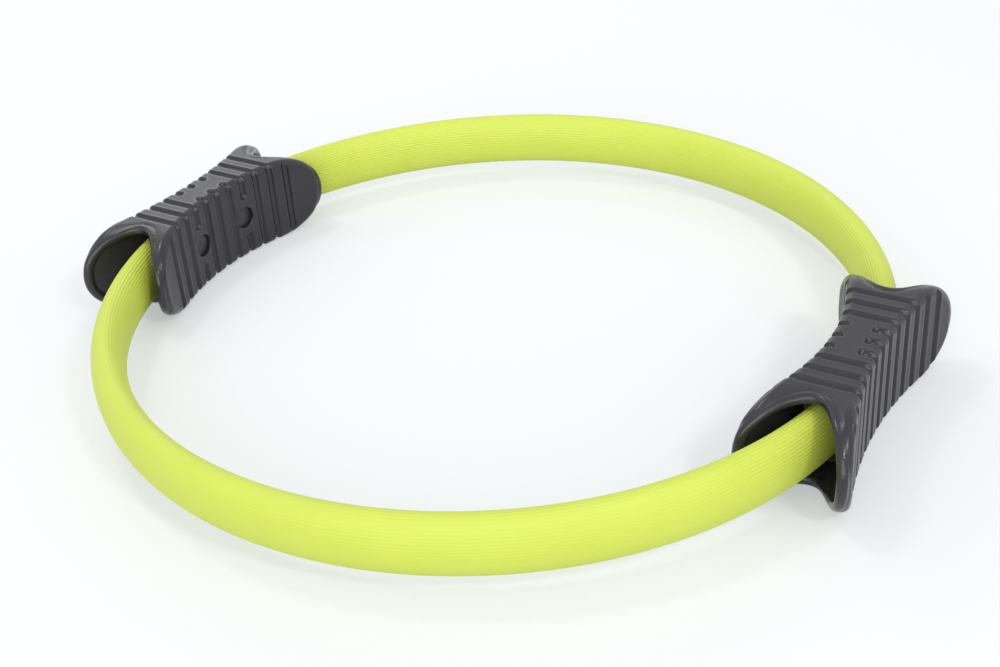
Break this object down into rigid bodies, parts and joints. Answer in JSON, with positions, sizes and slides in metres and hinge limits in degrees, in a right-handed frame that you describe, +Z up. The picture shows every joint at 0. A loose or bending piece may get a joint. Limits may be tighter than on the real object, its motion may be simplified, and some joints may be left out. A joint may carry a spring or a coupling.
{
  "type": "pilates ring",
  "caption": "Springy hoop with a ribbed tubular sleeve and a hollow, waisted, grooved grip at each end; squeezed or pulled between the hands or legs as exercise resistance.",
  "frame": {"origin": "on the floor under the centre of the ring, with the ring lying flat on its two grips", "axes": "+Z up along the axis of the ring, +X through the right grip, +Y towards the rear half hoop"},
  "size_m": [0.4016, 0.38, 0.046],
  "materials": {
    "sleeve": "matte lime foam rubber with fine ribs along the hoop",
    "grip": "satin charcoal moulding, smoother at the lips",
    "strip": "plain glass-fibre spring strip",
    "screw": "plain turned",
    "washer": "plain pressed",
    "plug": "satin charcoal",
    "bush": "turned"
  },
  "bodies": {
    "left_end": {"left_grip": "grip", "left_screws": "screw", "left_washers": "washer", "left_plugs": "plug", "left_bushes": "bush", "front_left_end_sleeve": "sleeve", "front_left_end_strip": "strip", "rear_left_end_sleeve": "sleeve", "rear_left_end_strip": "strip"},
    "front_left_arm": {"front_left_arm_sleeve": "sleeve", "front_left_arm_strip": "strip"},
    "front_side": {"front_side_sleeve": "sleeve", "front_side_strip": "strip"},
    "front_right_arm": {"front_right_arm_sleeve": "sleeve", "front_right_arm_strip": "strip"},
    "right_end": {"right_grip": "grip", "right_screws": "screw", "right_washers": "washer", "right_plugs": "plug", "right_bushes": "bush", "front_right_end_sleeve": "sleeve", "front_right_end_strip": "strip"},
    "rear_left_arm": {"rear_left_arm_sleeve": "sleeve", "rear_left_arm_strip": "strip"},
    "rear_side": {"rear_side_sleeve": "sleeve", "rear_side_strip": "strip"},
    "rear_right_arm": {"rear_right_arm_sleeve": "sleeve", "rear_right_arm_strip": "strip"},
    "rear_right_end": {"rear_right_end_sleeve": "sleeve", "rear_right_end_strip": "strip"}
  },
  "joints": [
    {"name": "front_left_bend", "type": "hinge", "parent": "left_end", "child": "front_left_arm", "pos_m": [-0.1474, -0.10709, 0.023], "axis": [0, 0, -1], "range_deg": [-8, 20], "stiffness_Nm_per_rad": 4.5},
    {"name": "front_left_side_bend", "type": "hinge", "parent": "front_left_arm", "child": "front_side", "pos_m": [-0.05022, -0.17514, 0.023], "axis": [0, 0, 1], "range_deg": [-8, 20], "stiffness_Nm_per_rad": 4.5},
    {"name": "front_right_side_bend", "type": "hinge", "parent": "front_side", "child": "front_right_arm", "pos_m": [0.05022, -0.17514, 0.023], "axis": [0, 0, 1], "range_deg": [-8, 20], "stiffness_Nm_per_rad": 4.5},
    {"name": "front_right_bend", "type": "hinge", "parent": "front_right_arm", "child": "right_end", "pos_m": [0.1474, -0.10709, 0.023], "axis": [0, 0, -1], "range_deg": [-8, 20], "stiffness_Nm_per_rad": 4.5},
    {"name": "rear_left_bend", "type": "hinge", "parent": "left_end", "child": "rear_left_arm", "pos_m": [-0.1474, 0.10709, 0.023], "axis": [0, 0, 1], "range_deg": [-8, 20], "stiffness_Nm_per_rad": 4.5},
    {"name": "rear_left_side_bend", "type": "hinge", "parent": "rear_left_arm", "child": "rear_side", "pos_m": [-0.05022, 0.17514, 0.023], "axis": [0, 0, -1], "range_deg": [-8, 20], "stiffness_Nm_per_rad": 4.5},
    {"name": "rear_right_side_bend", "type": "hinge", "parent": "rear_side", "child": "rear_right_arm", "pos_m": [0.05022, 0.17514, 0.023], "axis": [0, 0, -1], "range_deg": [-8, 20], "stiffness_Nm_per_rad": 4.5},
    {"name": "rear_right_bend", "type": "hinge", "parent": "rear_right_arm", "child": "rear_right_end", "pos_m": [0.1474, 0.10709, 0.023], "axis": [0, 0, 1], "range_deg": [-8, 20], "stiffness_Nm_per_rad": 4.5}
  ],
  "couplings": [
    {"joint": "front_left_side_bend", "follows": "front_left_bend", "ratio": 1},
    {"joint": "front_right_side_bend", "follows": "front_left_bend", "ratio": 1},
    {"joint": "front_right_bend", "follows": "front_left_bend", "ratio": 1},
    {"joint": "rear_left_bend", "follows": "front_left_bend", "ratio": 1},
    {"joint": "rear_left_side_bend", "follows": "front_left_bend", "ratio": 1},
    {"joint": "rear_right_side_bend", "follows": "front_left_bend", "ratio": 1},
    {"joint": "rear_right_bend", "follows": "front_left_bend", "ratio": 1}
  ]
}
